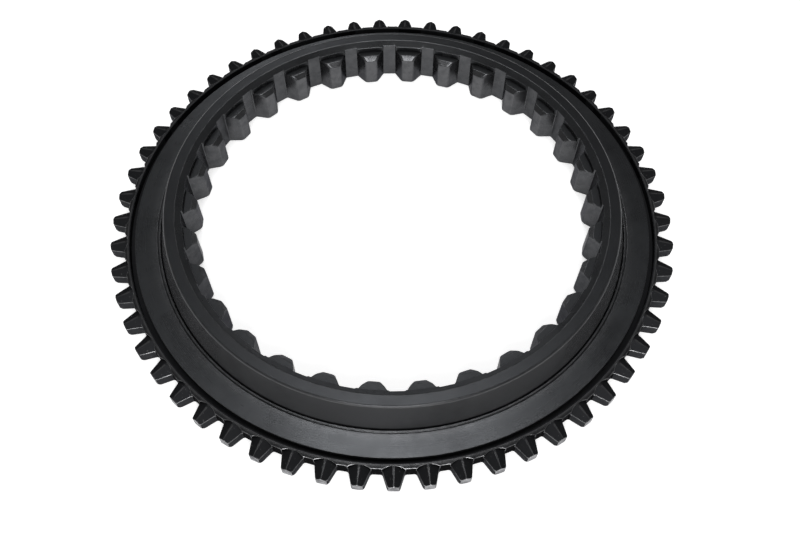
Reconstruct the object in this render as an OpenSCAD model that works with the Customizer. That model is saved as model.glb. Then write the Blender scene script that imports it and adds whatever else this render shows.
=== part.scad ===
// Synchronizer hub ring. One machined steel ring that lies flat on its underside:
// pointed dog teeth round the rim, a flat shoulder inside them, a friction cone
// that rises from the shoulder, and coarse spline teeth inside the bore.
// The axis of the ring is Z, and the underside is at Z = 0.

/* [Ring] */
// Diameter over the tips of the dog teeth
tip_d = 160; // [140:0.5:180]
// Height from the underside to the top land
ring_h = 13.1; // [11:0.1:17]
// Height of the flat shoulder above the underside
shoulder_h = 4.6; // [3.4:0.1:5]

/* [Friction cone] */
// Thickness of the wall at the foot of the cone, above the spline teeth
cone_wall = 7.2; // [5.6:0.1:10]
// Half angle of the cone
cone_angle = 15; // [7:0.5:17]
// Edge break round the top of the cone
cone_edge = 0.35; // [0.2:0.05:0.8]
// Width of the relief groove at the foot of the cone
relief_w = 0.4; // [0.2:0.05:0.8]
// Depth of the relief groove
relief_depth = 0.4; // [0.2:0.05:0.8]
// Width of the bead beside the relief groove
bead_w = 0.5; // [0.3:0.05:1]
// Width of the fine turned line that parts the bead from the shoulder
line_w = 0.3; // [0.15:0.05:0.6]
// Depth of that line
line_depth = 0.15; // [0.1:0.05:0.4]

/* [Shoulder and rim groove] */
// Width of the flat shoulder, from the foot of the cone to the groove
shoulder_w = 7.4; // [4:0.1:12]
// Width of the rim between the groove and the roots of the dog teeth
rim_w = 1.4; // [1:0.05:3]
// Width of the groove between the shoulder and the rim
groove_w = 1.35; // [0.8:0.05:2.4]
// Depth of the groove below the shoulder
groove_depth = 1.8; // [0.6:0.1:2.2]

/* [Dog teeth] */
// Number of dog teeth
dog_n = 57; // [51:1:60]
// Length of a dog tooth from root to tip
dog_l = 4.2; // [3.6:0.1:5]
// Width of a dog tooth at its tip
dog_tip_w = 2.9; // [2.4:0.1:3.4]
// Flank angle of a dog tooth from its own centre line
dog_flank_angle = 17.5; // [10:0.5:19]
// Radius in the corners of the gaps between dog teeth
dog_root_fillet = 0.7; // [0.3:0.1:0.9]
// Height of the ridge at the tip of a dog tooth
ridge_tip_h = 4; // [3.6:0.1:4.6]
// Fall of the rim towards the tooth tips
rim_fall_angle = 10; // [6:0.5:14]
// Slope of the pointed tooth faces, from level
roof_angle = 28; // [24:1:44]
// Width of the flat left along each ridge, at the tip
ridge_flat = 0.15; // [0.1:0.05:0.6]
// Extra slope of the tooth faces, which widens that flat inwards
ridge_lift_angle = 1.5; // [0.5:0.5:3]
// Radius of the scallop where the tooth faces run out on the rim
scallop_r = 5.4; // [5:0.1:7]
// Narrowest width of the ledge left between the groove and a scallop
ledge_w = 0.65; // [0.2:0.05:1]
// Bevel under the tooth tips, inwards
tip_bevel_w = 0.4; // [0.2:0.1:1.6]
// Height of that bevel
tip_bevel_h = 0.6; // [0.2:0.1:2]

/* [Spline teeth] */
// Number of spline teeth in the bore
spline_n = 30; // [26:1:32]
// Length of a spline tooth from root to tip
spline_l = 3.6; // [3:0.1:4.2]
// Width of a spline tooth at its tip
spline_tip_w = 3.4; // [2.8:0.1:4.2]
// Flank angle of a spline tooth from its own centre line
spline_flank_angle = 36; // [24:0.5:39]
// Radius in the corners of the gaps between spline teeth
spline_fillet = 0.3; // [0.2:0.1:0.8]
// Depth of the spline teeth below the top land
spline_drop = 2.7; // [2:0.1:4]
// Reach of the bevel on the upper end of each spline tooth, outwards
spline_bevel_w = 1.2; // [0.6:0.1:2.2]
// Drop of that bevel
spline_bevel_h = 1.1; // [0.4:0.1:2]
// Edge break on the lower end of each spline tooth
spline_edge = 0.25; // [0.15:0.05:0.8]

/* [Countersink] */
// How far the wall above the spline teeth stands inside their root circle
wall_step = 0.3; // [0.1:0.05:0.8]
// Width of the countersink round the inside of the top land
sink_w = 1.8; // [0.8:0.1:2.4]
// Depth of the countersink
sink_h = 1.2; // [0.6:0.05:1.8]

/* [Hidden] */
$fn = 180;

// Length by which a cutter passes the surface that it cuts
over = 1;
// Share of a pitch that the milling of one tooth takes, so that it ends inside the gaps
mill_share = 0.93;
// Straight steps that stand for the round corner of a gap
corner_steps = 4;

tip_r = tip_d / 2;
dog_root_r = tip_r - dog_l;
groove_r = dog_root_r - rim_w;
groove_floor_h = shoulder_h - groove_depth;

cone_foot_r = groove_r - groove_w - shoulder_w;
cone_top_r = cone_foot_r - (ring_h - shoulder_h) * tan(cone_angle);
cone_edge_r = cone_top_r + cone_edge * tan(cone_angle);
bead_r = cone_foot_r + relief_w + bead_w;

wall_r = cone_foot_r - cone_wall;
spline_root_r = wall_r + wall_step;
spline_tip_r = spline_root_r - spline_l;
spline_h = ring_h - spline_drop;

dog_pitch = 360 / dog_n;
spline_pitch = 360 / spline_n;

// Height of the rim surface at a radius
function rim_h(r) = ridge_tip_h + (tip_r - r) * tan(rim_fall_angle);

// Turns a plan point about the axis
function turned(p, a) = [p.x * cos(a) - p.y * sin(a), p.x * sin(a) + p.y * cos(a)];

// Half width at x of a gap whose flank passes a corner point at an angle to the gap's centre line
function flank_y(corner, angle, x) = corner.y + (x - corner.x) * tan(angle);

// Section of the ring before its teeth are cut, as radius and height
module ring_section() {
    polygon([
        [spline_tip_r + spline_edge, 0],
        [tip_r - tip_bevel_w, 0],
        [tip_r, tip_bevel_h],
        [tip_r, ridge_tip_h],
        [groove_r, rim_h(groove_r)],
        [groove_r, groove_floor_h],
        [groove_r - groove_w, groove_floor_h],
        [groove_r - groove_w, shoulder_h],
        [bead_r + line_w, shoulder_h],
        [bead_r + line_w / 2, shoulder_h - line_depth],
        [bead_r, shoulder_h],
        [cone_foot_r + relief_w, shoulder_h],
        [cone_foot_r + relief_w / 2, shoulder_h - relief_depth],
        [cone_foot_r, shoulder_h],
        [cone_edge_r, ring_h - cone_edge],
        [cone_top_r - cone_edge, ring_h],
        [wall_r + sink_w, ring_h],
        [wall_r, ring_h - sink_h],
        [wall_r, spline_h],
        [spline_tip_r + spline_bevel_w, spline_h],
        [spline_tip_r, spline_h - spline_bevel_h],
        [spline_tip_r, spline_edge],
    ]);
}

// Plan of the gap between two teeth, along +X, with round corners at its root
module gap_plan(corner, angle, root_x, mouth_x, fillet) {
    side = sign(mouth_x - root_x);
    round_x = root_x + side * fillet;
    round_y = flank_y(corner, angle, round_x) - fillet / cos(angle);
    mouth_y = flank_y(corner, angle, mouth_x);
    sweep = 90 - side * angle;
    upper = [
        [mouth_x, mouth_y],
        for (i = [0 : corner_steps])
            let (a = 90 + angle + side * sweep * i / corner_steps)
                [round_x + fillet * cos(a), round_y + fillet * sin(a)],
    ];
    lower = [for (i = [len(upper) - 1 : -1 : 0]) [upper[i].x, -upper[i].y]];
    polygon(concat(upper, lower));
}

module dog_gap() {
    half_pitch = dog_pitch / 2;
    tip_x = sqrt(tip_r * tip_r - dog_tip_w * dog_tip_w / 4);
    corner = turned([tip_x, -dog_tip_w / 2], half_pitch);
    translate([0, 0, -over])
        linear_extrude(ring_h)
            gap_plan(corner, dog_flank_angle + half_pitch, dog_root_r, tip_r + over, dog_root_fillet);
}

module spline_gap() {
    half_pitch = spline_pitch / 2;
    tip_x = sqrt(spline_tip_r * spline_tip_r - spline_tip_w * spline_tip_w / 4);
    corner = turned([tip_x, -spline_tip_w / 2], half_pitch);
    translate([0, 0, -over])
        linear_extrude(ring_h + 2 * over)
            gap_plan(corner, half_pitch - spline_flank_angle, spline_root_r,
                     spline_tip_r - over, spline_fillet);
}

// What is milled off above one dog tooth: two sloping faces that meet in a ridge along +X
module tooth_point() {
    reach = tip_r + over;
    half_w = reach * tan(mill_share * dog_pitch / 2);
    fall = half_w * tan(roof_angle);
    ridge_h = ridge_tip_h + ridge_flat / 2 * tan(roof_angle);
    difference() {
        intersection() {
            translate([groove_r + ledge_w + scallop_r, 0, -over])
                cylinder(r = scallop_r, h = ring_h);
            translate([0, 0, -over])
                linear_extrude(ring_h)
                    polygon([[0, 0], [reach, -half_w], [reach, half_w]]);
        }
        translate([tip_r, 0, ridge_h])
            rotate([0, rim_fall_angle + ridge_lift_angle, 0])
                rotate([90, 0, -90])
                    linear_extrude(4 * scallop_r, center = true)
                        polygon([
                            [0, 0],
                            [2 * half_w, -2 * fall],
                            [2 * half_w, -2 * fall - ring_h],
                            [-2 * half_w, -2 * fall - ring_h],
                            [-2 * half_w, -2 * fall],
                        ]);
    }
}

module synchronizer_ring() {
    color([0.13, 0.13, 0.14])
        difference() {
            rotate_extrude()
                ring_section();
            for (i = [0 : dog_n - 1]) {
                rotate(i * dog_pitch)
                    tooth_point();
                rotate((i + 0.5) * dog_pitch)
                    dog_gap();
            }
            for (i = [0 : spline_n - 1])
                rotate((i + 0.5) * spline_pitch)
                    spline_gap();
        }
}

synchronizer_ring();
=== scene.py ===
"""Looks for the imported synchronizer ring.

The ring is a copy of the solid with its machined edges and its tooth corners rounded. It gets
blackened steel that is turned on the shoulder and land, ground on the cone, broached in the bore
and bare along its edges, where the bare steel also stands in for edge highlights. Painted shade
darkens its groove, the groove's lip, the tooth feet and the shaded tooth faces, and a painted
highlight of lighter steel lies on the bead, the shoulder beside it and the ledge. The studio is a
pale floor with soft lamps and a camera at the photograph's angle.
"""

import math

import bmesh
import bpy
from bpy.props import FloatProperty, FloatVectorProperty, PointerProperty
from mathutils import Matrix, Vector


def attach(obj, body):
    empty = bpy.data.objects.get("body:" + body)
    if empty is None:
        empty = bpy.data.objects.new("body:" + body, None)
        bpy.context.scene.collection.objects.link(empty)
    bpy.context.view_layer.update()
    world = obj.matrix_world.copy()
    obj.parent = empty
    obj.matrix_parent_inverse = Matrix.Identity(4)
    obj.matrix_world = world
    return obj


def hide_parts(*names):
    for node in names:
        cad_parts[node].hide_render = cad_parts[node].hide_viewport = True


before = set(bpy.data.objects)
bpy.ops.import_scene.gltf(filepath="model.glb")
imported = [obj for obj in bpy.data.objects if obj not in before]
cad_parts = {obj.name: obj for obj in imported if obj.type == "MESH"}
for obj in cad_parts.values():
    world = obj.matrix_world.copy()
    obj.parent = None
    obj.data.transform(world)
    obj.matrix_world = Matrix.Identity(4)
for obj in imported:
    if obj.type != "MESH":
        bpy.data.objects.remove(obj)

bl_info = {
    "name": "Synchronizer ring looks",
    "version": (1, 0, 0),
    "blender": (4, 5, 0),
    "location": "3D View > Sidebar > Ring",
    "description": "Rounds and finishes the synchronizer ring and sets its studio",
    "category": "Object",
}

RING_NODE = "synchronizer_ring"
STEEL_SLOT = "blackened_steel"
MM = 0.001
WHITE = (1.0, 1.0, 1.0, 1.0)
BLACK = (0.0, 0.0, 0.0, 1.0)

# Radii and heights of the ring's zones, in millimetres
SPLINE_TIP_R = 55.15
WALL_R = 58.45
BORE_R = 60.25
CONE_TOP_R = 63.0
CONE_FOOT_R = 65.65
BEAD_IN_R = 66.05
BEAD_OUT_R = 66.55
SHOULDER_R = 73.05
RIM_R = 74.4
DOG_ROOT_R = 75.8
SHOULDER_H = 4.6
LAND_H = 13.1
# Beyond the first radius lies the tip of a dog tooth, and inside the second that of a spline tooth
DOG_TIP_FROM_R = 79.0
SPLINE_TIP_TO_R = SPLINE_TIP_R + 0.8

# Vertices that are closer than this are one, in metres
MERGE = 1e-6
# Steps in the rounding of a machined edge and of a tooth corner
EDGE_STEPS = 2
CORNER_STEPS = 4
# Share of its length that an upright edge rises
STEEP = 0.6
# Least upward part of the normal of a level face
LEVEL = 0.9999
# Share of an edge's bareness and of the highlight painted on it that is left where its rounding
# meets a face
WEAR_FADE = 0.35

# Shares of bare metal, of steel polished by rubbing and of painted shade on each kind of face.
# The painted shade darkens the tooth roofs, roots and flanks and the spline tops and wall, and
# the polished share on dog_ridge faces, which hold the ledge, is a painted highlight on the ledge
FINISH = {
    "plain": (0.0, 0.0, 0.0),
    "dog_tip": (0.9, 1.0, 0.0),
    "dog_ridge": (0.0, 0.75, 0.0),
    "dog_slope": (0.0, 0.0, 0.66),
    "dog_flank": (0.0, 0.15, 0.4),
    "dog_root": (0.0, 0.0, 1.0),
    "spline_crest": (0.0, 0.6, 0.0),
    "spline_bevel": (0.0, 0.4, 0.0),
    "spline_flank": (0.0, 0.38, 0.0),
    "spline_root": (0.0, 0.35, 0.0),
    "spline_top": (0.0, 0.0, 0.3),
    "wall": (0.0, 0.0, 0.4),
    "countersink": (0.0, 0.1, 0.0),
}

# How far the floor lies below the ring, in metres
FLOOR_DROP = 0.00005
# Distances between which the floor's glow rises to full white, in metres
FLOOR_FADE = (0.3, 1.5)
# Upward parts of a view between which the walls fade into the ceiling
WALL_FADE = (0.02, 0.20)


class RingFinish(bpy.types.PropertyGroup):
    edge_round: FloatProperty(
        name="Edge rounding",
        description="Width of the rounding along the machined edges",
        default=0.00012,
        unit="LENGTH",
        precision=5,
    )
    dog_corner: FloatProperty(
        name="Dog tooth corners",
        description="Width of the rounding on the upright corners at the dog tooth tips",
        default=0.00045,
        unit="LENGTH",
        precision=5,
    )
    spline_corner: FloatProperty(
        name="Spline tooth corners",
        description="Width of the rounding on the upright corners at the spline tooth tips",
        default=0.00055,
        unit="LENGTH",
        precision=5,
    )
    sharp_angle: FloatProperty(
        name="Sharp edge",
        description="Least angle between two faces whose edge is rounded",
        default=math.radians(32),
        subtype="ANGLE",
    )
    crease_angle: FloatProperty(
        name="Crease",
        description="Least angle between two faces that are shaded apart",
        default=math.radians(20),
        subtype="ANGLE",
    )
    flat_angle: FloatProperty(
        name="Flat face",
        description="Largest angle between triangles that are joined into one flat face",
        default=math.radians(0.4),
        subtype="ANGLE",
    )
    facet_angle: FloatProperty(
        name="Facet",
        description="Largest angle between two facets of one tooth tip, which are joined",
        default=math.radians(3),
        subtype="ANGLE",
    )
    oxide: FloatVectorProperty(
        name="Black oxide",
        description="Colour of the blackened steel",
        default=(0.046, 0.048, 0.051),
        subtype="COLOR",
    )
    # Darkest colour, for painted shade on the shaded tooth faces, in the groove, along its lip and
    # at the tooth foot, and for darker oxide in random patches and on the land
    shade_and_deep_oxide: FloatVectorProperty(
        name="Deep oxide",
        description="Darker colour of the thick oxide on the milled tooth faces and in the groove",
        default=(0.006, 0.006, 0.007),
        subtype="COLOR",
    )
    cone_oxide: FloatVectorProperty(
        name="Cone oxide",
        description="Colour of the friction cone, where grinding has thinned the oxide",
        default=(0.070, 0.071, 0.074),
        subtype="COLOR",
    )
    # Also the colour of the painted highlight on the ledge, the bead and the shoulder beside the
    # bead
    rubbed_and_highlight: FloatVectorProperty(
        name="Rubbed steel",
        description="Colour of the tooth flanks, ridges, tips and ledges that rub on the sleeve",
        default=(0.14, 0.14, 0.145),
        subtype="COLOR",
    )
    # Bare steel along the edges, which also stands in for the highlights on them
    bare_steel_and_highlight: FloatVectorProperty(
        name="Worn steel",
        description="Colour where the oxide has rubbed off along an edge",
        default=(0.60, 0.60, 0.61),
        subtype="COLOR",
    )
    glance: FloatVectorProperty(
        name="Glancing tint",
        description="Colour of the shine at a glancing view, which the oxide dulls",
        default=(0.30, 0.30, 0.31),
        subtype="COLOR",
    )
    # Also sets how much highlight is painted on the edges
    wear: FloatProperty(
        name="Edge wear",
        description="How much of the edges has lost its oxide",
        default=0.55,
        min=0.0,
        max=1.0,
        subtype="FACTOR",
    )
    satin: FloatProperty(
        name="Satin roughness",
        description="Roughness of the turned and broached faces",
        default=0.29,
        min=0.0,
        max=1.0,
        subtype="FACTOR",
    )
    ground: FloatProperty(
        name="Ground roughness",
        description="Roughness of the friction cone",
        default=0.24,
        min=0.0,
        max=1.0,
        subtype="FACTOR",
    )
    mark_depth: FloatProperty(
        name="Tool mark depth",
        description="Depth of the turning and broaching marks",
        default=0.000012,
        unit="LENGTH",
        precision=6,
    )


class StudioSetup(bpy.types.PropertyGroup):
    floor_colour: FloatVectorProperty(
        name="Floor",
        description="Colour of the pale floor",
        default=(0.86, 0.86, 0.86),
        subtype="COLOR",
    )
    floor_glow: FloatProperty(
        name="Floor glow",
        description="Light that the floor adds for what looks at it, so that it shows white",
        default=0.60,
        min=0.0,
    )
    floor_radius: FloatProperty(
        name="Floor radius",
        description="Radius of the floor",
        default=6.0,
        unit="LENGTH",
    )
    horizon: FloatProperty(
        name="Horizon",
        description="Brightness of the studio walls at the floor",
        default=1.5,
        min=0.0,
    )
    ceiling: FloatProperty(
        name="Ceiling",
        description="Brightness of the studio overhead",
        default=0.22,
        min=0.0,
    )
    top_power: FloatProperty(
        name="Top lamp",
        description="Power of the soft lamp above and behind the ring",
        default=2.6,
        unit="POWER",
    )
    back_power: FloatProperty(
        name="Back lamp",
        description="Power of the small soft lamp behind the ring",
        default=0.6,
        unit="POWER",
    )
    front_power: FloatProperty(
        name="Front lamp",
        description="Power of the soft lamp on the camera's side",
        default=7.0,
        unit="POWER",
    )
    camera_place: FloatVectorProperty(
        name="Camera place",
        description="Where the camera stands",
        default=(-0.10363, -0.089525, 0.197011),
        subtype="TRANSLATION",
        precision=5,
    )
    camera_turn: FloatVectorProperty(
        name="Camera turn",
        description="How the camera is turned",
        default=(math.radians(31.0247), math.radians(-0.4845), math.radians(-49.3571)),
        subtype="EULER",
        precision=4,
    )
    lens: FloatProperty(
        name="Lens",
        description="Focal length on a 36 mm wide sensor, in millimetres",
        default=36.834,
    )


class Wire:
    """A socket of a shader tree. Python's operators on it add Math nodes."""

    def __init__(self, socket):
        self.socket = socket
        self.tree = socket.id_data

    @classmethod
    def of(cls, tree, kind, settings=None, inputs=None, out=0):
        """Adds a node: its settings first, then the values or links of its sockets."""
        node = tree.nodes.new(kind)
        for key, value in (settings or {}).items():
            setattr(node, key, value)
        for key, value in (inputs or {}).items():
            if isinstance(value, Wire):
                tree.links.new(value.socket, node.inputs[key])
            else:
                node.inputs[key].default_value = value
        return cls(node.outputs[out]) if node.outputs else node

    def math(self, operation, first, second=0.0):
        return Wire.of(
            self.tree,
            "ShaderNodeMath",
            {"operation": operation},
            {0: first, 1: second},
        )

    def __add__(self, other):
        return self.math("ADD", self, other)

    __radd__ = __add__

    def __sub__(self, other):
        return self.math("SUBTRACT", self, other)

    def __rsub__(self, other):
        return self.math("SUBTRACT", other, self)

    def __mul__(self, other):
        return self.math("MULTIPLY", self, other)

    __rmul__ = __mul__

    def __truediv__(self, other):
        return self.math("DIVIDE", self, other)

    def most(self, other):
        """The larger of this value and another."""
        return self.math("MAXIMUM", self, other)

    def step(self, low, high):
        """Rises smoothly from 0 at low to 1 at high."""
        return Wire.of(
            self.tree,
            "ShaderNodeMapRange",
            {"interpolation_type": "SMOOTHSTEP"},
            {"Value": self, "From Min": low, "From Max": high},
        )

    def band(self, low, high, soft):
        """1 between low and high, with soft ends."""
        return self.step(low - soft, low + soft) * (1.0 - self.step(high - soft, high + soft))

    def tint(self, first, second):
        """Mixes two colours by this value."""
        return Wire.of(
            self.tree,
            "ShaderNodeMix",
            {"data_type": "RGBA", "clamp_factor": True},
            {0: self, 6: first, 7: second},
            out=2,
        )


def rgba(colour):
    return (*colour, 1.0)


def blackened_steel(finish):
    """Black oxide on machined steel, with tool marks, bare metal along the edges that also stands
    in for edge highlights, painted shade and painted highlights.
    """
    material = bpy.data.materials.new(STEEL_SLOT)
    material.use_nodes = True
    tree = material.node_tree
    tree.nodes.clear()

    place = Wire.of(tree, "ShaderNodeTexCoord", out="Object")
    split = Wire.of(tree, "ShaderNodeSeparateXYZ", None, {0: place}).socket.node
    x = Wire(split.outputs["X"]) / MM
    y = Wire(split.outputs["Y"]) / MM
    z = Wire(split.outputs["Z"]) / MM
    radius = x.math("SQRT", x * x + y * y)
    bearing = x.math("ARCTAN2", y, x)

    def noise(scale, detail, rough):
        return Wire.of(
            tree,
            "ShaderNodeTexNoise",
            {"noise_dimensions": "3D"},
            {"Vector": place, "Scale": scale, "Detail": detail, "Roughness": rough},
            out="Fac",
        )

    def lines(along):
        return Wire.of(
            tree,
            "ShaderNodeTexNoise",
            {"noise_dimensions": "1D"},
            {"W": along, "Scale": 1.0, "Detail": 3.0, "Roughness": 0.6},
            out="Fac",
        )

    # Zones of the ring. The lip is the ledge's edge at the groove, the seat is the shoulder
    # beside the bead, and the foot is the strip where the dog teeth begin. The groove, the lip and
    # the foot get painted shade, and the bead and the seat a painted highlight
    turned = radius.band(BORE_R, RIM_R, 0.15)
    cone = radius.band(CONE_TOP_R, CONE_FOOT_R, 0.1)
    cone = cone * z.band(SHOULDER_H + 0.1, LAND_H - 0.1, 0.1)
    groove = radius.band(SHOULDER_R - 0.05, RIM_R + 0.05, 0.04)
    groove = groove * (1.0 - z.step(SHOULDER_H - 0.3, SHOULDER_H - 0.1))
    lip = radius.band(RIM_R - 0.05, RIM_R + 0.3, 0.08) * z.step(SHOULDER_H, SHOULDER_H + 0.2)
    land = z.step(LAND_H - 0.2, LAND_H - 0.05)
    teeth = radius.step(RIM_R, RIM_R + 0.4)
    bore = 1.0 - radius.step(BORE_R - 0.3, BORE_R)
    bead = radius.band(BEAD_IN_R, BEAD_OUT_R, 0.06)
    bead = bead * z.band(SHOULDER_H - 0.2, SHOULDER_H + 0.1, 0.05)
    seat = radius.step(BEAD_OUT_R, BEAD_OUT_R + 0.3)
    seat = seat * (1.0 - radius.step(BEAD_OUT_R, BEAD_OUT_R + 3.0))
    foot = radius.band(DOG_ROOT_R - 0.7, DOG_ROOT_R, 0.25)

    # Patches of the oxide, handling smudges, fine grain and bare specks
    patches = noise(55.0, 4.0, 0.6)
    smudges = noise(140.0, 3.0, 0.55)
    grain = noise(5200.0, 2.0, 0.6)
    specks = noise(2300.0, 1.0, 0.4).step(0.70, 0.76)

    # Marks of the lathe and the broach, and the grain of the milled teeth
    lathe = lines((radius - z) * 7.0)
    broach = lines(bearing * 420.0)
    marks = lathe * turned * (1.0 - 0.9 * cone) + broach * bore * 0.8 + grain * teeth * 0.6

    # Red marks bare metal, green steel polished by rubbing, partly a painted highlight, and blue
    # painted shade
    made = Wire.of(tree, "ShaderNodeAttribute", {"attribute_name": "finish"}, out="Color")
    parts = Wire.of(tree, "ShaderNodeSeparateColor", None, {0: made}).socket.node
    edge = Wire(parts.outputs["Red"])
    contact_and_highlight = Wire(parts.outputs["Green"])
    painted_shade = Wire(parts.outputs["Blue"])

    # Bare metal also stands in for highlights along the edges. It is broken up, so that no edge is
    # evenly bright
    scuffs = noise(420.0, 4.0, 0.65).step(0.62 - 0.5 * finish.wear, 0.80 - 0.35 * finish.wear)
    # Painted shade takes bare edges off the lip and the lighter steel mostly off the foot and the
    # lip, and the bead and the shoulder beside it get a painted highlight of lighter steel
    bare_edge_and_highlight = edge * (0.3 + 0.7 * scuffs) * (1.0 - lip)
    contact_and_highlight = contact_and_highlight * (1.0 - 0.7 * foot) * (1.0 - lip) + 0.25 * bead + 0.22 * seat
    rubbed_and_highlight = contact_and_highlight * (0.55 + 0.45 * scuffs)

    # Painted shade on the shaded tooth faces, in the groove, along its lip and at the tooth foot
    # darkens towards the darkest colour, with random patches of darker oxide and a darker land on
    # top. The oxide is thinnest on the ground cone
    shade_and_oxide_patches = painted_shade.most(groove * 0.6).most(lip * 0.7).most(patches.step(0.42, 0.75) * 0.35)
    shade_and_oxide_patches = shade_and_oxide_patches.most(land * 0.35).most(foot * 0.6)
    oxide = cone.tint(rgba(finish.oxide), rgba(finish.cone_oxide))
    oxide = shade_and_oxide_patches.tint(oxide, rgba(finish.shade_and_deep_oxide))
    colour = rubbed_and_highlight.tint(oxide, rgba(finish.rubbed_and_highlight))
    colour = (bare_edge_and_highlight + specks * teeth * 0.10).tint(colour, rgba(finish.bare_steel_and_highlight))
    bare = rubbed_and_highlight.most(bare_edge_and_highlight)

    rough = (
        finish.satin
        + (finish.ground - finish.satin) * cone
        + (smudges - 0.5) * 0.14
        + (lathe - 0.5) * 0.10 * turned * (1.0 - cone)
        + 0.45 * groove
        + 0.30 * lip
        + 0.45 * painted_shade
        + 0.05 * land
        - bare * 0.06
    )
    metal = 0.88 - 0.6 * cone * (1.0 - bare)

    bump = Wire.of(
        tree,
        "ShaderNodeBump",
        None,
        {"Strength": 1.0, "Distance": finish.mark_depth, "Height": marks},
    )
    shader = Wire.of(
        tree,
        "ShaderNodeBsdfPrincipled",
        None,
        {
            "Base Color": colour,
            "Roughness": rough,
            "Metallic": metal,
            "Normal": bump,
            "Specular Tint": rgba(finish.glance),
        },
    )
    Wire.of(tree, "ShaderNodeOutputMaterial", None, {"Surface": shader})
    return material


class RING_OT_round_ring(bpy.types.Operator):
    """Makes the visible ring from the solid, with its edges rounded and its steel finished"""

    bl_idname = "ring.round_ring"
    bl_label = "Round and finish the ring"

    def execute(self, context):
        finish = context.scene.ring_finish
        mesh = bpy.data.meshes.new("ring_rounded")
        shape = bmesh.new()
        shape.from_mesh(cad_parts[RING_NODE].data)
        bmesh.ops.remove_doubles(shape, verts=shape.verts, dist=MERGE)
        bmesh.ops.dissolve_limit(
            shape,
            angle_limit=finish.flat_angle,
            verts=shape.verts,
            edges=shape.edges,
        )
        self.round_corners(shape, finish)
        sharp = [edge for edge in shape.edges if edge.calc_face_angle(0.0) > finish.sharp_angle]
        outer = [edge for edge in sharp if edge.is_convex]
        if not outer:
            raise RuntimeError("the solid shows no sharp edges to round")
        rounded = self.bevel(shape, outer, finish.edge_round, EDGE_STEPS)
        self.mark_finish(shape, rounded)
        for face in shape.faces:
            face.smooth = abs(face.normal.z) < LEVEL
        for edge in shape.edges:
            edge.smooth = edge.calc_face_angle(0.0) < finish.crease_angle
        shape.to_mesh(mesh)
        shape.free()
        mesh.materials.append(blackened_steel(finish))
        ring = bpy.data.objects.new("ring_rounded", mesh)
        context.scene.collection.objects.link(ring)
        shading = ring.modifiers.new("flat_faces", "WEIGHTED_NORMAL")
        shading.keep_sharp = True
        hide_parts(RING_NODE)
        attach(ring, "root")
        return {"FINISHED"}

    @staticmethod
    def bevel(shape, edges, width, steps):
        """Rounds edges to a width in a number of steps, and returns the new faces."""
        made = bmesh.ops.bevel(
            shape,
            geom=edges,
            offset=width,
            offset_type="OFFSET",
            affect="EDGES",
            segments=steps,
            profile=0.5,
            material=-1,
            clamp_overlap=False,
        )
        return set(made["faces"])

    @classmethod
    def round_corners(cls, shape, finish):
        """Rounds the upright corners at the tips of the dog teeth and of the spline teeth."""
        facets = [
            edge
            for edge in cls.upright_edges(shape, DOG_TIP_FROM_R, math.inf)
            if edge.calc_face_angle(0.0) < finish.facet_angle
        ]
        bmesh.ops.dissolve_edges(shape, edges=facets, use_verts=False)
        for low, high, width in (
            (DOG_TIP_FROM_R, math.inf, finish.dog_corner),
            (0.0, SPLINE_TIP_TO_R, finish.spline_corner),
        ):
            corners = [
                edge
                for edge in cls.upright_edges(shape, low, high)
                if edge.is_convex and edge.calc_face_angle(0.0) > finish.sharp_angle
            ]
            cls.bevel(shape, corners, width, CORNER_STEPS)

    @staticmethod
    def upright_edges(shape, low, high):
        """Steep edges whose middle lies between two radii, in millimetres."""
        steep = []
        for edge in shape.edges:
            first, second = (vert.co for vert in edge.verts)
            middle = ((first + second) / 2).to_2d().length / MM
            rise = abs(first.z - second.z)
            if low < middle < high and rise > STEEP * edge.calc_length():
                steep.append(edge)
        return steep

    @classmethod
    def mark_finish(cls, shape, rounded):
        """Marks bare metal, which on rounded edges also stands in for highlights, in red, steel
        polished by rubbing, partly a painted highlight, in green and painted shade in blue.
        """
        layer = shape.loops.layers.float_color.new("finish")
        for face in shape.faces:
            radius = sum(vert.co.to_2d().length for vert in face.verts) / len(face.verts) / MM
            if face in rounded:
                for corner in face.loops:
                    inside = all(other in rounded for other in corner.vert.link_faces)
                    share = 1.0 if inside else WEAR_FADE
                    corner[layer] = (cls.edge_wear_and_highlight(radius) * share, 0.0, 0.0, 1.0)
                continue
            finish = FINISH[cls.face_kind(face, radius)]
            for corner in face.loops:
                corner[layer] = (*finish, 1.0)

    @staticmethod
    def edge_wear_and_highlight(radius):
        """How bare a rounded edge is, which also sets the highlight painted on it: most on the dog
        tooth tips and least in the bore.
        """
        if radius > DOG_TIP_FROM_R:
            return 1.0
        if radius > RIM_R + 0.4:
            return 0.5
        if radius > SHOULDER_R - 0.5:
            return 0.15
        return 0.08

    @classmethod
    def face_kind(cls, face, radius):
        """Which kind of face of the ring this is, by its place and by where it looks."""
        centre = face.calc_center_median()
        outwards = Vector((centre.x, centre.y, 0.0)).normalized()
        if radius > RIM_R:
            return cls.dog_kind(face.normal, outwards, radius)
        if radius < BORE_R:
            return cls.bore_kind(face.normal, outwards, radius)
        return "plain"

    @staticmethod
    def dog_kind(normal, outwards, radius):
        """Kind of a face on the dog teeth. The ledge counts with the ridges, and its lighter share
        is a painted highlight.
        """
        lean = abs(normal.cross(outwards).z)
        if normal.z > 0.6:
            return "dog_slope" if lean > 0.2 else "dog_ridge"
        if normal.dot(outwards) > 0.8 and radius > DOG_TIP_FROM_R:
            return "dog_tip"
        return "dog_flank" if lean > 0.7 else "dog_root"

    @staticmethod
    def bore_kind(normal, outwards, radius):
        """Kind of a face in the bore. Lower ends count with the flanks."""
        inwards = -normal.dot(outwards)
        if inwards > 0.9:
            if radius < SPLINE_TIP_R + 0.5:
                return "spline_crest"
            return "spline_root" if radius > WALL_R else "wall"
        if radius < WALL_R and 0.4 < normal.z < 0.9:
            return "spline_bevel"
        if normal.z > 0.5:
            return "countersink" if radius > WALL_R else "spline_top"
        return "spline_flank"


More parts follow.
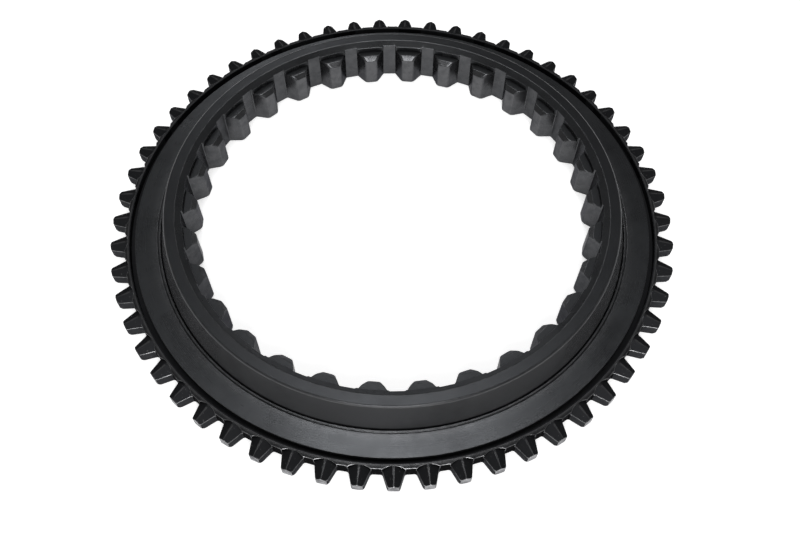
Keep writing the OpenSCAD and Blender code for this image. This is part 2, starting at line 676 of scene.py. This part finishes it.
class RING_OT_studio(bpy.types.Operator):
    """Sets the floor, the lamps, the studio's brightness and the camera"""

    bl_idname = "ring.studio"
    bl_label = "Set the studio"

    def execute(self, context):
        studio = context.scene.ring_studio
        self.lay_floor(context, studio)
        self.light_walls(context, studio)
        camera = self.set_camera(context, studio)
        front = math.atan2(camera.location.y, camera.location.x)
        back = front + math.pi
        aside = back + math.radians(10)
        # Name, bearing, degrees above the floor, distance, width and height, and power
        for lamp in (
            ("top_lamp", back, 76.0, 1.0, (0.24, 0.46), studio.top_power),
            ("back_lamp", aside, 43.0, 1.0, (0.22, 0.22), studio.back_power),
            ("front_lamp", front, 44.0, 1.2, (0.6, 0.4), studio.front_power),
        ):
            self.hang_lamp(context, *lamp)
        return {"FINISHED"}

    @staticmethod
    def lay_floor(context, studio):
        """Lays a round floor whose glow, seen by the camera or in a reflection, grows outwards."""
        mesh = bpy.data.meshes.new("studio_floor")
        shape = bmesh.new()
        bmesh.ops.create_circle(shape, cap_ends=True, segments=96, radius=studio.floor_radius)
        bmesh.ops.translate(shape, verts=shape.verts, vec=(0.0, 0.0, -FLOOR_DROP))
        shape.to_mesh(mesh)
        shape.free()
        material = bpy.data.materials.new("pale_floor")
        material.use_nodes = True
        tree = material.node_tree
        tree.nodes.clear()
        place = Wire.of(tree, "ShaderNodeTexCoord", out="Object")
        distance = Wire.of(
            tree,
            "ShaderNodeVectorMath",
            {"operation": "LENGTH"},
            {0: place},
            out="Value",
        )
        glow = studio.floor_glow + (1.0 - studio.floor_glow) * distance.step(*FLOOR_FADE)
        path = Wire.of(tree, "ShaderNodeLightPath").socket.node
        seen = Wire(path.outputs["Is Camera Ray"])
        for name in ("Is Glossy Ray", "Is Transmission Ray"):
            seen = seen.most(Wire(path.outputs[name]))
        shader = Wire.of(
            tree,
            "ShaderNodeBsdfPrincipled",
            None,
            {
                "Base Color": rgba(studio.floor_colour),
                "Roughness": 0.9,
                "Specular IOR Level": 0.1,
                "Emission Color": (seen * glow).tint(BLACK, WHITE),
                "Emission Strength": 1.0,
            },
        )
        Wire.of(tree, "ShaderNodeOutputMaterial", None, {"Surface": shader})
        mesh.materials.append(material)
        floor = bpy.data.objects.new("studio_floor", mesh)
        context.scene.collection.objects.link(floor)

    @staticmethod
    def light_walls(context, studio):
        """Lights the studio from all round: bright at the floor and dim overhead."""
        world = bpy.data.worlds.new("studio")
        world.use_nodes = True
        tree = world.node_tree
        tree.nodes.clear()
        ray = Wire.of(tree, "ShaderNodeTexCoord", out="Generated")
        height = Wire.of(tree, "ShaderNodeSeparateXYZ", None, {0: ray}, out="Z")
        level = studio.horizon + (studio.ceiling - studio.horizon) * height.step(*WALL_FADE)
        glow = Wire.of(
            tree,
            "ShaderNodeBackground",
            None,
            {"Color": WHITE, "Strength": level},
        )
        Wire.of(tree, "ShaderNodeOutputWorld", None, {"Surface": glow})
        context.scene.world = world

    @staticmethod
    def set_camera(context, studio):
        data = bpy.data.cameras.new("photo_camera")
        data.sensor_fit = "HORIZONTAL"
        data.sensor_width = 36.0
        data.lens = studio.lens
        data.clip_start = 0.01
        data.clip_end = 50.0
        camera = bpy.data.objects.new("photo_camera", data)
        camera.location = studio.camera_place
        camera.rotation_euler = studio.camera_turn
        context.scene.collection.objects.link(camera)
        context.scene.camera = camera
        return camera

    @staticmethod
    def hang_lamp(context, name, bearing, lift, distance, size, power):
        """Hangs a soft lamp that faces the ring, at a bearing and some degrees above the floor."""
        data = bpy.data.lights.new(name, "AREA")
        data.shape = "RECTANGLE"
        data.size, data.size_y = size
        data.energy = power
        lift = math.radians(lift)
        level = math.cos(lift)
        way = Vector((math.cos(bearing) * level, math.sin(bearing) * level, math.sin(lift)))
        lamp = bpy.data.objects.new(name, data)
        lamp.location = way * distance
        lamp.rotation_euler = (-way).to_track_quat("-Z", "Y").to_euler()
        context.scene.collection.objects.link(lamp)


class RING_PT_sidebar(bpy.types.Panel):
    """Lists the steps that dress the ring and their settings"""

    bl_idname = "RING_PT_sidebar"
    bl_label = "Synchronizer ring"
    bl_space_type = "VIEW_3D"
    bl_region_type = "UI"
    bl_category = "Ring"

    def draw(self, context):
        for operator, settings in (
            (RING_OT_round_ring, context.scene.ring_finish),
            (RING_OT_studio, context.scene.ring_studio),
        ):
            column = self.layout.column()
            column.operator(operator.bl_idname)
            for name in settings.__annotations__:
                column.prop(settings, name)


CLASSES = (RingFinish, StudioSetup, RING_OT_round_ring, RING_OT_studio, RING_PT_sidebar)


def register():
    for entry in CLASSES:
        bpy.utils.register_class(entry)
    bpy.types.Scene.ring_finish = PointerProperty(type=RingFinish)
    bpy.types.Scene.ring_studio = PointerProperty(type=StudioSetup)


def unregister():
    del bpy.types.Scene.ring_studio
    del bpy.types.Scene.ring_finish
    for entry in reversed(CLASSES):
        bpy.utils.unregister_class(entry)


def main():
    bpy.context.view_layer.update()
    register()
    bpy.context.scene.view_settings.view_transform = "Standard"
    bpy.ops.ring.round_ring()
    bpy.ops.ring.studio()


if __name__ == "__main__":
    main()
